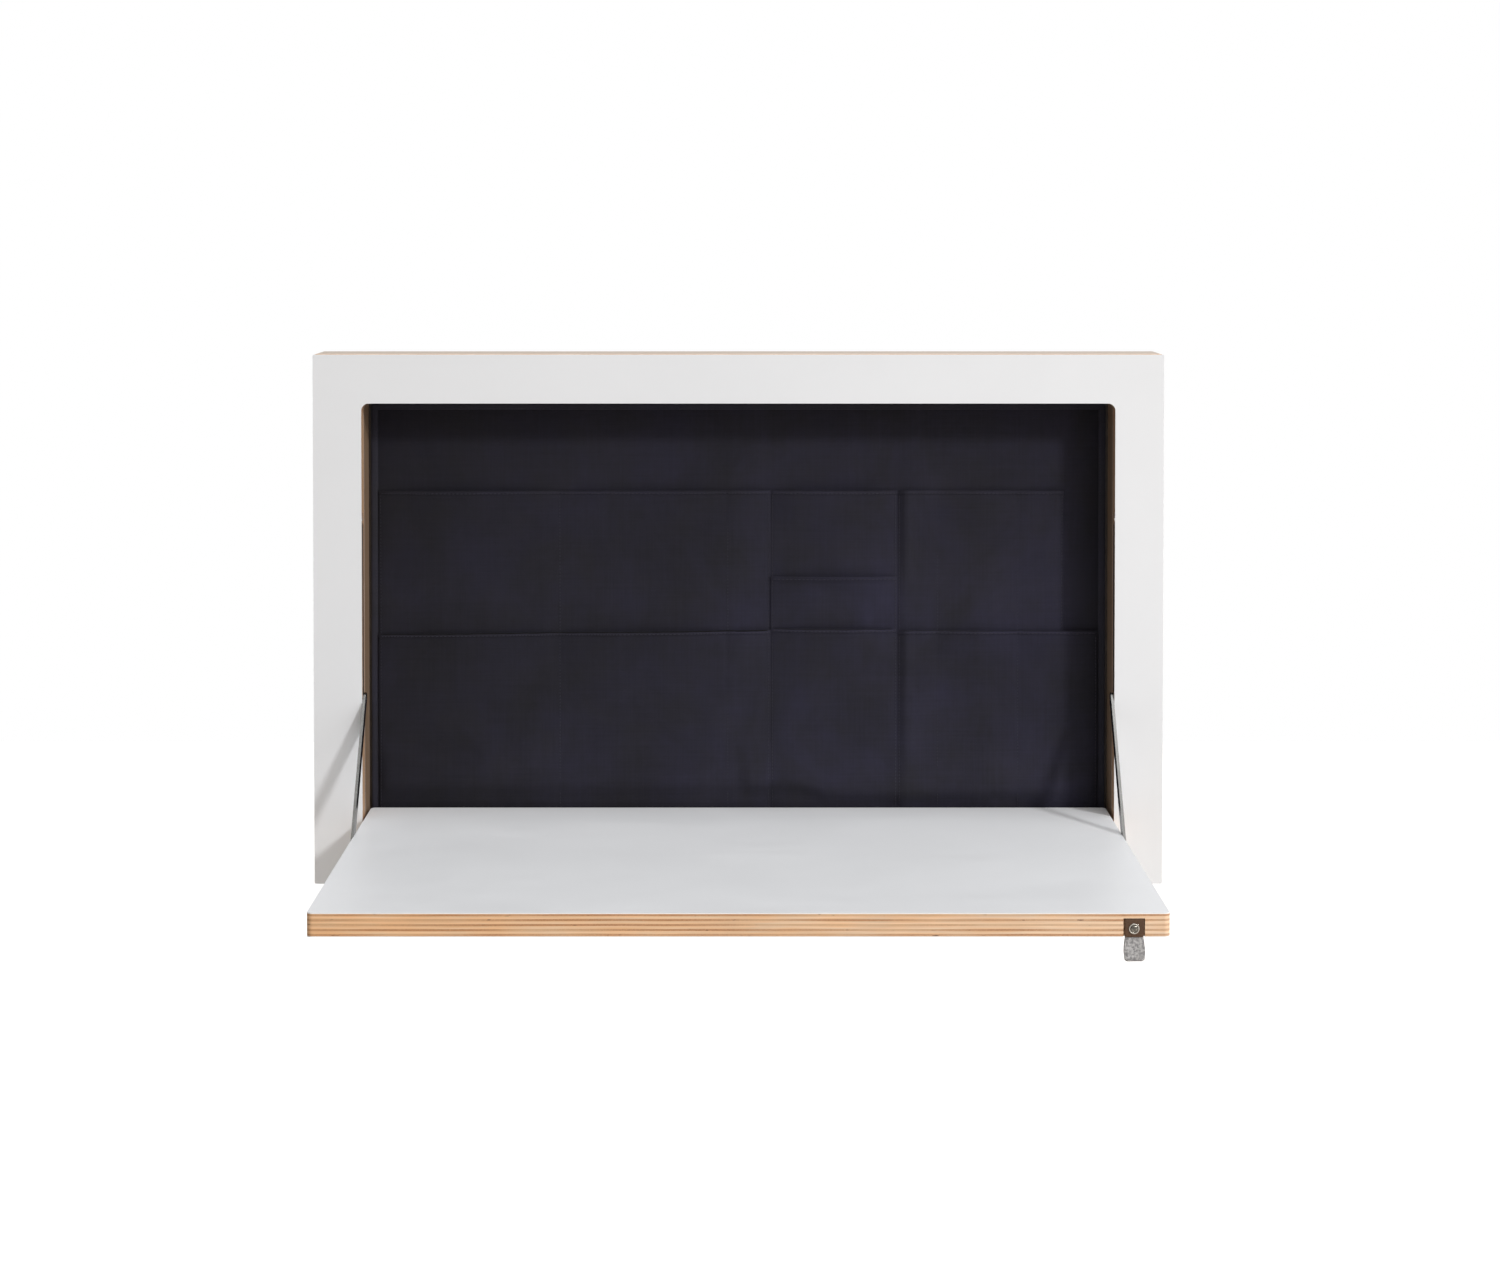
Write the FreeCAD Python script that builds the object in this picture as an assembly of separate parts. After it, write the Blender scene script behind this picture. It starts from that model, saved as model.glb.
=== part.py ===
import FreeCAD, Part
import math
import os

# Fold-down wall desk. Millimetres. X runs to the user's right, Z up, the wall is the plane Y = 0 and
# the front faces -Y. The origin is the middle of the back face, at the centre of the wall screws.
V = FreeCAD.Vector

# Case
WIDTH, HEIGHT, DEPTH = 800.0, 500.0, 70.0
BOARD = 20.0                    # front board and leaf: plywood with laminate on both faces
LAMINATE = 0.9
STILE, TOP_BAR, SILL = 45.5, 46.0, 18.0
WINDOW_R, OUTER_R = 7.0, 1.5
PANEL, REBATE = 12.0, 12.0      # back panel and the step it sits in
FIT = 0.3                       # looseness between pieces that are laid in

# Leaf and its pivots
SIDE_GAP, SILL_GAP, HEAD_GAP = 3.0, 3.5, 3.0
PIVOT_DEPTH, PIVOT_TO_HEEL = 11.0, 33.0
PIN_R, PIN_IN_LEAF, PIN_IN_BLOCK, RUN = 3.0, 18.0, 11.0, 0.05
BLOCK_R, BLOCK_LONG = 5.0, 12.0
LEAF_R = 5.0

# Stays: flat bars that slide up the stiles as the leaf closes
BAR, BAR_THICK, BAR_GAP = 12.0, 2.6, 0.2
STAY_FOOT_OUT, STAY_HEAD_DEPTH, STAY_HEAD_UP = 86.0, 9.0, 174.0
SLOT, SLOT_DEEP, TRACK = 6.4, 9.5, 1.0
SLOT_TOP, KEYHOLE_R, KEYHOLE_UP = 340.0, 3.9, 347.0
SHOE, SHOE_LONG, SHOE_DEEP = 6.2, 14.0, 8.6
RIVET_R = 2.5
SCREW_R, SCREW_HEAD_R, SCREW_LONG = 2.5, 4.4, 16.0

# Catch
MAGNET_R, MAGNET_LONG, MAGNET_OUT = 1.9, 4.0, 0.5
CATCH_DEPTH, CATCH_UP = 3.1, 344.5

# Organiser
ORG_GAP, BIND = 2.5, 6.5
CLOTH, ORG_BOARD = 0.9, 1.5
TAPE, TAPE_WIDE, TAPE_IN = 0.9, 25.0, 28.0  # hook and loop strips behind the board
ROW_TOPS = (231.0, 367.0, 285.0)            # lower row, upper row, small pocket, above the base
COLUMNS = ((-344.5, 30.5), (31.5, 150.0), (155.0, 344.5))
UPPER_COLUMNS = ((-336.0, 30.5), (31.5, 150.0), (155.0, 312.0))

# Fixings
WALL_X, WALL_Z, WALL_HOLE_R = 600.0, 320.0, 3.25

# Pull tab
TAB_X, TAB_WIDE, TAB_TALL, TAB_DROP = 322.0, 16.8, 15.0, 20.0
FELT, PATCH, NOTCH = 3.0, 1.2, 4.2

# Derived
BASE = -HEIGHT / 2
WINDOW = WIDTH - 2 * STILE
WINDOW_Z = (BASE + SILL, BASE + HEIGHT - TOP_BAR)
LEAF_W = WINDOW - 2 * SIDE_GAP
LEAF_L = HEIGHT - TOP_BAR - SILL - SILL_GAP - HEAD_GAP
PIVOT_Z = BASE + SILL + SILL_GAP + PIVOT_TO_HEEL
LEAF_TOP = PIVOT_Z + BOARD - PIVOT_DEPTH
LEAF_LOW = LEAF_TOP - BOARD
LEAF_MID = (LEAF_TOP + LEAF_LOW) / 2
HEEL_DEPTH = PIVOT_DEPTH + PIVOT_TO_HEEL
BAR_IN = LEAF_W / 2 + BAR_GAP
BAR_OUT = BAR_IN + BAR_THICK
SILL_TOP = BASE + SILL


def at(depth):
    """Y of a point this far behind the front face."""
    return depth - DEPTH


def box(x0, x1, d0, d1, z0, z1):
    return Part.makeBox(x1 - x0, d1 - d0, z1 - z0, V(x0, at(d0), z0))


def soften(solid, radius, axis, picks=None):
    """Round the straight edges that run along an axis."""
    edges = []
    for e in solid.Edges:
        if not isinstance(e.Curve, Part.Line):
            continue
        run = e.Vertexes[-1].Point - e.Vertexes[0].Point
        if abs(run.normalize().dot(axis)) > 0.999 and (picks is None or picks(e.CenterOfMass)):
            edges.append(e)
    return solid.makeFillet(radius, edges)


def rounded_box(x0, x1, d0, d1, z0, z1, radius, axis):
    return soften(box(x0, x1, d0, d1, z0, z1), radius, axis)


def rod(radius, length, point, axis):
    return Part.makeCylinder(radius, length, point, axis)


def cone_rod(r0, r1, length, point, axis):
    return Part.makeCone(r0, r1, length, point, axis)


def cut(solid, tools):
    return solid.cut(Part.Compound(tools)) if tools else solid


def both_sides(make):
    """A shape made for the right side, and its mirror on the left."""
    right = make()
    return [right, right.mirror(V(0, 0, 0), V(1, 0, 0))]


def save(name, *solids):
    shape = solids[0] if len(solids) == 1 else Part.Compound(list(solids))
    shape.exportStep("parts/%s.step" % name)


# ---------------------------------------------------------------- case

def board_ring(d0, d1):
    """One layer of the front board: the full rectangle with the window taken out."""
    outer = rounded_box(-WIDTH / 2, WIDTH / 2, d0, d1, BASE, -BASE, OUTER_R, V(0, 1, 0))
    hole = rounded_box(-WINDOW / 2, WINDOW / 2, d0 - 1, d1 + 1, *WINDOW_Z, WINDOW_R, V(0, 1, 0))
    return outer.cut(hole)


def long_hole(width, x0, deep):
    """Round-ended groove along a stay head's travel."""
    low = BASE + STAY_HEAD_UP - SHOE_LONG / 2 - 0.1 + SLOT / 2
    top = BASE + SLOT_TOP - SLOT / 2
    y = at(STAY_HEAD_DEPTH)
    groove = Part.makeBox(deep, width, top - low, V(x0, y - width / 2, low))
    ends = [rod(width / 2, deep, V(x0, y, z), V(1, 0, 0)) for z in (low, top)]
    return groove.fuse(ends).removeSplitter()


def slide_slot():
    """Seat of one slide track, and the round hole above it where the shoe goes in."""
    x0 = WINDOW / 2 - 1
    entry = rod(KEYHOLE_R, SLOT_DEEP + 1, V(x0, at(STAY_HEAD_DEPTH), BASE + KEYHOLE_UP), V(1, 0, 0))
    return long_hole(SLOT + 2 * TRACK, x0, SLOT_DEEP + TRACK + 1).fuse(entry)


def slide_tracks():
    """Black liners that the shoes run in."""
    def track():
        x0 = WINDOW / 2
        return long_hole(SLOT + 2 * TRACK, x0, SLOT_DEEP + TRACK).cut(
            long_hole(SLOT, x0 - 1, SLOT_DEEP + 1))
    save("slide_tracks", *both_sides(track))


def block_pocket(d1=BOARD + 1):
    """Seat of a bearing block: round at the front, open to the back of the front board."""
    x0 = WINDOW / 2
    round_end = rod(BLOCK_R, BLOCK_LONG, V(x0, at(PIVOT_DEPTH), PIVOT_Z), V(1, 0, 0))
    back = box(x0, x0 + BLOCK_LONG, PIVOT_DEPTH, d1, PIVOT_Z - BLOCK_R, PIVOT_Z + BLOCK_R)
    return round_end.fuse(back)


def catch_bore():
    return rod(MAGNET_R, MAGNET_LONG + 1, V(WINDOW / 2 - 1, at(CATCH_DEPTH), BASE + CATCH_UP),
               V(1, 0, 0))


def front_frame():
    tools = both_sides(slide_slot) + both_sides(block_pocket) + both_sides(catch_bore)
    core = cut(board_ring(LAMINATE, BOARD - LAMINATE), tools)
    save("front_frame", core)
    save("front_laminate", board_ring(0, LAMINATE))
    save("rear_laminate", cut(board_ring(BOARD - LAMINATE, BOARD), both_sides(block_pocket)))


def bearing_blocks():
    def block():
        bore = rod(PIN_R + RUN, BLOCK_LONG, V(WINDOW / 2, at(PIVOT_DEPTH), PIVOT_Z), V(1, 0, 0))
        return block_pocket(BOARD).cut(bore)
    save("pivot_blocks", *both_sides(block))


def magnets():
    save("magnets", *both_sides(
        lambda: rod(MAGNET_R, MAGNET_LONG + MAGNET_OUT,
                    V(WINDOW / 2 - MAGNET_OUT, at(CATCH_DEPTH), BASE + CATCH_UP), V(1, 0, 0))))


def dowel_places():
    return [(x, 40.0, z) for x in (-1, 1) for z in (0, 1)]


def dowels():
    """Cross dowels through the rail and stile joints."""
    solids = []
    for side, depth, top in dowel_places():
        z = WINDOW_Z[1] if top else SILL_TOP
        up = 24.0 if top else 12.0
        down = 24.0
        z0 = z - down if top else z - up
        solids.append(rod(5.0, up + down, V(side * (WIDTH - STILE) / 2, at(depth), z0), V(0, 0, 1)))
    return solids


def rails():
    """Plywood blocks behind the front board: two full-width rails, and a stile each side between."""
    outer = V(0, 1, 0)
    tools = dowels() + [rebate()]
    top = soften(box(-WIDTH / 2, WIDTH / 2, BOARD, DEPTH, WINDOW_Z[1], -BASE), OUTER_R, outer,
                 lambda c: c.z > -BASE - 1)
    low = soften(box(-WIDTH / 2, WIDTH / 2, BOARD, DEPTH, BASE, SILL_TOP), OUTER_R, outer,
                 lambda c: c.z < BASE + 1)
    save("top_rail", cut(top, tools))
    save("bottom_rail", cut(low, tools))
    for name, side in (("left", -1), ("right", 1)):
        x = sorted((side * WINDOW / 2, side * WIDTH / 2))
        save("%s_stile" % name, cut(box(*x, BOARD, DEPTH, *WINDOW_Z), tools))
    save("corner_dowels", *dowels())


def rebate():
    grow = REBATE
    return box(-WINDOW / 2 - grow, WINDOW / 2 + grow, DEPTH - PANEL, DEPTH + 1,
               WINDOW_Z[0] - grow, WINDOW_Z[1] + grow)


def wall_holes():
    return [rod(WALL_HOLE_R, PANEL + 2, V(x, 1, z), V(0, -1, 0))
            for x in (-WALL_X / 2, WALL_X / 2) for z in (-WALL_Z / 2, WALL_Z / 2)]


def back_panel():
    g = REBATE - FIT
    panel = box(-WINDOW / 2 - g, WINDOW / 2 + g, DEPTH - PANEL, DEPTH,
                WINDOW_Z[0] - g, WINDOW_Z[1] + g)
    save("back_panel", cut(panel, wall_holes()))


# ---------------------------------------------------------------- organiser

ORG_BACK = DEPTH - PANEL - 2 * TAPE
ORG_FACE = ORG_BACK - ORG_BOARD - FIT - CLOTH
ORG_X = WINDOW / 2 - ORG_GAP
ORG_Z = (WINDOW_Z[0] + ORG_GAP, WINDOW_Z[1] - ORG_GAP)


def organiser():
    """Cloth-faced board with a bound edge, held to the back panel by hook and loop strips."""
    inner = BIND + FIT
    x, z0, z1 = ORG_X - inner, ORG_Z[0] + inner, ORG_Z[1] - inner
    y_axis = V(0, 1, 0)
    save("organiser_board", box(-x, x, ORG_BACK - ORG_BOARD, ORG_BACK, z0, z1))
    save("organiser_cloth", box(-x, x, ORG_FACE, ORG_FACE + CLOTH, z0, z1))
    ring = rounded_box(-ORG_X, ORG_X, ORG_FACE - 0.4, ORG_BACK, *ORG_Z, 4.0, y_axis)
    save("organiser_binding", ring.cut(
        box(-ORG_X + BIND, ORG_X - BIND, 0, DEPTH, ORG_Z[0] + BIND, ORG_Z[1] - BIND)))


def tapes():
    """Hook strips glued to the back panel, and the loop strips on the board that press onto them."""
    for name, d0 in (("loop_tapes", ORG_BACK), ("hook_tapes", ORG_BACK + TAPE)):
        z0, z1 = ORG_Z[0] + TAPE_IN, ORG_Z[1] - TAPE_IN
        spans = [(x - TAPE_WIDE / 2, x + TAPE_WIDE / 2) for x in (TAPE_IN - ORG_X, 0.0, ORG_X - TAPE_IN)]
        save(name, *[box(x0, x1, d0, d0 + TAPE, z0, z1) for x0, x1 in spans])


def pockets():
    """Two rows of flat pockets, the lower row lapped over the foot of the upper one."""
    gap = FIT + CLOTH
    low_z = ORG_Z[0] + BIND + 0.5
    lower, upper, small = [BASE + z for z in ROW_TOPS]
    for row, columns, face, z0, z1 in (
            ("upper", UPPER_COLUMNS, ORG_FACE - gap, lower - 8.0, upper),
            ("lower", COLUMNS, ORG_FACE - 2 * gap, low_z, lower)):
        for name, (x0, x1) in zip(("left", "middle", "right"), columns):
            save("%s_pocket_%s" % (row, name), box(x0, x1, face, face + CLOTH, z0, z1))
    x0, x1 = UPPER_COLUMNS[1]
    face = ORG_FACE - 2 * gap
    save("small_pocket", box(x0 + 2, x1 - 2, face, face + CLOTH, lower + 1.0, small))


# ---------------------------------------------------------------- leaf

FRONT = HEEL_DEPTH - LEAF_L          # depth of the leaf's front edge when it is down


def leaf_layer(z0, z1):
    return rounded_box(-LEAF_W / 2, LEAF_W / 2, FRONT, HEEL_DEPTH, z0, z1, LEAF_R, V(0, 0, 1))


def tab_notch():
    half = TAB_WIDE / 2 + 0.4
    return box(TAB_X - half, TAB_X + half, FRONT - 1, FRONT + NOTCH, LEAF_LOW - 1,
               LEAF_LOW + TAB_TALL + 0.5)


def foot_point():
    """Where a stay's foot turns, in the side of the leaf."""
    return at(-STAY_FOOT_OUT), LEAF_MID


def side_bore(radius, length, y, z):
    return lambda: rod(radius, length + 1, V(LEAF_W / 2 - length, y, z), V(1, 0, 0))


def strike_place():
    """The magnet's point, turned with the leaf from closed to open."""
    forward, up = PIVOT_DEPTH - CATCH_DEPTH, BASE + CATCH_UP - PIVOT_Z
    return at(PIVOT_DEPTH - up), PIVOT_Z - forward


def leaf():
    foot, strike = foot_point(), strike_place()
    bores = (both_sides(side_bore(PIN_R, PIN_IN_LEAF, at(PIVOT_DEPTH), PIVOT_Z))
             + both_sides(side_bore(SCREW_R, SCREW_LONG, *foot))
             + both_sides(side_bore(MAGNET_R, 2.0, *strike)))
    screw = rod(1.6, 20.0, V(TAB_X, at(FRONT), LEAF_LOW + 7.0), V(0, 1, 0))
    core = leaf_layer(LEAF_LOW + LAMINATE, LEAF_TOP - LAMINATE)
    save("leaf_core", cut(core, bores + [tab_notch(), screw]))
    save("leaf_top_laminate", leaf_layer(LEAF_TOP - LAMINATE, LEAF_TOP))
    save("leaf_under_laminate", cut(leaf_layer(LEAF_LOW, LEAF_LOW + LAMINATE), [tab_notch()]))


def pivot_pins():
    save("pivot_pins", *both_sides(
        lambda: rod(PIN_R, PIN_IN_LEAF + SIDE_GAP + PIN_IN_BLOCK,
                    V(LEAF_W / 2 - PIN_IN_LEAF, at(PIVOT_DEPTH), PIVOT_Z), V(1, 0, 0))))


def strikes():
    save("strike_discs", *both_sides(
        lambda: rod(MAGNET_R, 2.0, V(LEAF_W / 2 - 2.0, *strike_place()), V(1, 0, 0))))


def foot_screws():
    """Countersunk screws that the stays turn on, flush with the bars' outer faces."""
    y, z = foot_point()
    head = SCREW_HEAD_R - SCREW_R

    def screw():
        shank = rod(SCREW_R, SCREW_LONG + BAR_GAP + BAR_THICK, V(LEAF_W / 2 - SCREW_LONG, y, z),
                    V(1, 0, 0))
        cone = cone_rod(SCREW_HEAD_R, SCREW_R, head * 0.8, V(BAR_OUT, y, z), V(-1, 0, 0))
        return shank.fuse(cone)
    save("foot_screws", *both_sides(screw))


def pull_tab():
    """Folded felt strip clamped in a notch in the front edge by a leather patch and a dome screw."""
    z = LEAF_LOW + 7.0
    face = at(FRONT + NOTCH - FELT)
    hole = rod(1.6, 30.0, V(TAB_X, at(FRONT) - 5, z), V(0, 1, 0))
    half = TAB_WIDE / 2
    felt = box(TAB_X - half, TAB_X + half, FRONT + NOTCH - FELT, FRONT + NOTCH,
               LEAF_LOW - TAB_DROP, LEAF_LOW + TAB_TALL)
    felt = soften(felt, FELT / 2 - 0.05, V(1, 0, 0), lambda c: c.z < LEAF_LOW - TAB_DROP + 1)
    save("tab_felt", felt.cut(hole))
    patch = box(TAB_X - half + 0.6, TAB_X + half - 0.6, FRONT, FRONT + PATCH,
                LEAF_LOW + 0.2, LEAF_LOW + TAB_TALL)
    patch = soften(patch, 1.0, V(0, 1, 0))
    save("tab_patch", patch.cut(hole))
    y = face - PATCH
    cup = cone_rod(4.4, 3.2, 0.8, V(TAB_X, y, z), V(0, -1, 0))
    save("tab_washer", cup.cut(hole))
    head = cone_rod(2.8, 1.7, 1.1, V(TAB_X, y - 0.8, z), V(0, -1, 0))
    shank = rod(1.6, NOTCH + 16.0, V(TAB_X, y - 0.8, z), V(0, 1, 0))
    slit = Part.makeBox(0.7, 0.6, 8, V(TAB_X - 0.35, y - 0.8 - 1.1, z - 4))
    save("tab_screw", head.fuse(shank).cut(slit.rotated(V(TAB_X, y, z), V(0, 1, 0), 35)))


# ---------------------------------------------------------------- stays

HEAD = (at(STAY_HEAD_DEPTH), BASE + STAY_HEAD_UP)


def stays():
    foot = foot_point()
    run = V(0, HEAD[0] - foot[0], HEAD[1] - foot[1])
    angle = math.degrees(math.atan2(run.z, run.y))

    def bar():
        ends = [rod(BAR / 2, BAR_THICK, V(BAR_IN, *p), V(1, 0, 0)) for p in (foot, HEAD)]
        shaft = Part.makeBox(BAR_THICK, run.Length, BAR, V(BAR_IN, foot[0], foot[1] - BAR / 2))
        shaft.rotate(V(BAR_IN, *foot), V(1, 0, 0), angle)
        solid = shaft.fuse(ends).removeSplitter()
        bore = rod(SCREW_R + RUN, BAR_THICK + 2, V(BAR_IN - 1, *foot), V(1, 0, 0))
        depth = (SCREW_HEAD_R - SCREW_R) * 0.8
        sink = cone_rod(SCREW_HEAD_R + 0.1, SCREW_R + 0.1, depth, V(BAR_OUT, *foot), V(-1, 0, 0))
        eye = rod(RIVET_R, BAR_THICK + 2, V(BAR_IN - 1, *HEAD), V(1, 0, 0))
        return solid.cut(Part.Compound([bore, sink, eye]))

    def rivet():
        return rod(RIVET_R, BAR_THICK, V(BAR_IN, *HEAD), V(1, 0, 0))

    for side, solid, pin in zip(("right", "left"), both_sides(bar), both_sides(rivet)):
        save("stay_%s" % side, solid)
        save("stay_rivet_%s" % side, pin)


def shoes():
    """Slide shoes that run in the stile slots and carry the heads of the stays."""
    y, z = HEAD

    def shoe():
        x0, flat = WINDOW / 2 - 0.1, SHOE_LONG - SHOE
        body = Part.makeBox(SHOE_DEEP, SHOE, flat, V(x0, y - SHOE / 2, z - flat / 2))
        caps = [rod(SHOE / 2, SHOE_DEEP, V(x0, y, z + s * flat / 2), V(1, 0, 0)) for s in (-1, 1)]
        return body.fuse(caps).removeSplitter()
    for side, solid in zip(("right", "left"), both_sides(shoe)):
        save("slide_shoe_%s" % side, solid)


def main():
    os.makedirs("parts", exist_ok=True)
    front_frame()
    slide_tracks()
    bearing_blocks()
    magnets()
    rails()
    back_panel()
    organiser()
    tapes()
    pockets()
    leaf()
    pivot_pins()
    strikes()
    foot_screws()
    pull_tab()
    stays()
    shoes()


main()
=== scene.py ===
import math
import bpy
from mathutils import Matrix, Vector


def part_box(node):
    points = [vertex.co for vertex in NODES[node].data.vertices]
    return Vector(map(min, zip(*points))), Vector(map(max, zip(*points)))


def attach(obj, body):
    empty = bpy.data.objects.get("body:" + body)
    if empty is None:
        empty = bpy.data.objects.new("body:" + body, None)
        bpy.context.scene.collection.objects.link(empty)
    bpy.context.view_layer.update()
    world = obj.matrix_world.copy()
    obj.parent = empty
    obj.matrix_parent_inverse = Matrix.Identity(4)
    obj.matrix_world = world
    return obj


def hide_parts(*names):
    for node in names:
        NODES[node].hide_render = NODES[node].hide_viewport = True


bl_info = {
    "name": "Fold-down Wall Desk",
    "version": (1, 0, 0),
    "blender": (4, 5, 0),
    "location": "View3D > Sidebar > Wall Desk",
    "description": "Dresses a shallow wall case with its fold-down leaf, steel stays and canvas organiser",
    "category": "Object",
}

from itertools import pairwise

import bmesh
import bpy
from bpy.props import FloatProperty, FloatVectorProperty, IntProperty, PointerProperty
from mathutils import Vector, noise

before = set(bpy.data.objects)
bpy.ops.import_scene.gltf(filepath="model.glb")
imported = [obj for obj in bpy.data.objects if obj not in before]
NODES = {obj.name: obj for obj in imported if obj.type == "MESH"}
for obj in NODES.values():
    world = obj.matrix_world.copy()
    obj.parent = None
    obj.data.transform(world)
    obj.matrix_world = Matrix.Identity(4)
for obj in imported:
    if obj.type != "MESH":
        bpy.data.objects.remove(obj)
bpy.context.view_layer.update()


# ---- sizes and colours

def number(name, description, default, low=0.0, high=1000.0, **more):
    return FloatProperty(name=name, description=description, default=default, min=low, max=high, **more)


def length(name, description, default, low=0.0, high=1.0):
    return number(name, description, default, low, high, unit="LENGTH", subtype="DISTANCE", precision=4)


def colour(name, description, default):
    return FloatVectorProperty(name=name, description=description, default=default, size=3, min=0.0,
                               max=1.0, subtype="COLOR")


class DESK_PG_timber(bpy.types.PropertyGroup):
    laminate: colour("Laminate", "White laminate of the front and the leaf", (0.83, 0.835, 0.845))
    # Painted highlight on the leaf laminate's cut edges, for the light they catch.
    lip: colour("Laminate edge highlight", "Painted highlight on the cut edges of the leaf's laminate", (0.98, 0.96, 0.93))
    pale_ply: colour("Pale ply", "Plies cut along the grain", (0.91, 0.69, 0.505))
    dark_ply: colour("Dark ply", "Plies cut across the grain", (0.60, 0.345, 0.195))
    veneer: colour("Face veneer", "Birch face veneer", (0.515, 0.43, 0.368))
    # The rim and window colours darken the faces inside the window: partly stained, partly painted shade
    # of the recess.
    rim: colour("Rim tint and painted shade", "Front board's edge inside the window, partly stained, partly painted shade", (0.55, 0.50, 0.46))
    stain_and_shade: colour("Window tint and painted shade", "Rails and stiles inside the window, partly stained, partly painted shade", (0.42, 0.34, 0.265))
    # Painted shade: the back panel's face seen through the gaps round the organiser is coloured dark for
    # the shade there.
    shadow: colour("Panel painted shade", "Painted shade on the back panel's inner face", (0.10, 0.085, 0.075))
    # The leaf's ply is drawn darker and warmer at its left end and lighter at its right.
    left_tint: colour("Left end tint", "Tint of the leaf's ply at its left", (0.98, 0.86, 0.71))
    right_tint: colour("Right end tint", "Tint of the leaf's ply at its right", (1.0, 1.0, 1.0))
    plies: number("Plies", "Pairs of plies across the core", 4.5, 2.0, 12.0)


class DESK_PG_cloth(bpy.types.PropertyGroup):
    canvas: colour("Canvas", "Organiser face and pockets", (0.0194, 0.0184, 0.0272))
    tape: colour("Binding tape", "Tape round the organiser's edge", (0.0245, 0.0238, 0.0325))
    thread: colour("Thread", "Sewing thread", (0.0165, 0.0155, 0.023))
    felt: colour("Felt", "Pull tab strip", (0.352, 0.345, 0.346))
    leather: colour("Leather", "Patch over the pull tab", (0.118, 0.066, 0.038))
    velour: colour("Fastening tape", "Hook and loop strips", (0.014, 0.014, 0.015))
    yarn: length("Yarn", "Distance between yarns of the canvas", 0.0007, 0.0003, 0.004)
    cloth: length("Cloth thickness", "Canvas thickness with its turned edge", 0.0009, 0.0003, 0.003)
    hem: length("Hem", "Depth of the turned pocket hem", 0.0036, 0.002, 0.03)
    bulge: length("Bulge", "How far slack canvas stands off", 0.0014, 0.0, 0.003)
    gape: length("Gape", "How far a pocket's mouth stands open", 0.0065, 0.0, 0.012)
    stitch: length("Stitch", "Length of one stitch", 0.0030, 0.001, 0.006)


class DESK_PG_metal(bpy.types.PropertyGroup):
    steel: colour("Steel", "Brushed steel of the stays", (0.155, 0.153, 0.148))
    zinc: colour("Zinc", "Zinc plated screws", (0.70, 0.70, 0.68))
    nickel: colour("Nickel", "Magnets and strikes", (0.72, 0.70, 0.67))
    # The dome and cup colours darken their nickel as painted dark reflections, since the room they reflect
    # is white.
    dome: colour("Dome", "Nickel of the pull tab's screw, darkened as a painted dark reflection", (0.149, 0.136, 0.116))
    cup: colour("Cup washer", "Nickel of the washer under it, darkened as a painted dark reflection", (0.36, 0.333, 0.295))
    head: length("Screw head", "Width of the back panel's screw heads", 0.0065, 0.003, 0.012)
    head_rows: IntProperty(name="Screws a side", description="Back panel screws on each upright",
                           default=3, min=2, max=6)


class DESK_PG_stage(bpy.types.PropertyGroup):
    eye_out: length("Eye distance", "Camera to the front face", 2.7753, 1.0, 10.0)
    eye_up: length("Eye height", "Camera above the centre of the case", 0.3787, -2.0, 2.0)
    focal_px: number("Focal length", "In pixels of the image", 2957.2, 500.0, 8000.0)
    pitch: number("Pitch", "Camera's tilt down from level", math.radians(1.6), 0.0, 0.5, subtype="ANGLE")
    aim_x: number("Axis across", "Optical axis from the left, pixels", 738.3, 0.0, 1500.0)
    aim_y: number("Axis down", "Optical axis from the top, pixels", 300.2, -500.0, 1283.0)
    floor_drop: length("Floor", "Floor below the centre of the case", 0.93, 0.3, 2.0)
    key: number("Key light", "Watts of the key light", 190.0)
    soft: number("Soft light", "Watts of the wide soft light", 64.0)
    side: number("Side light", "Watts of the wide light on the right", 73.0)
    top: number("Top light", "Watts of the light overhead", 101.0)
    sky: number("Room light", "Strength of the room's even light", 0.12, 0.0, 2.0)


# ---- shader building

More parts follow.
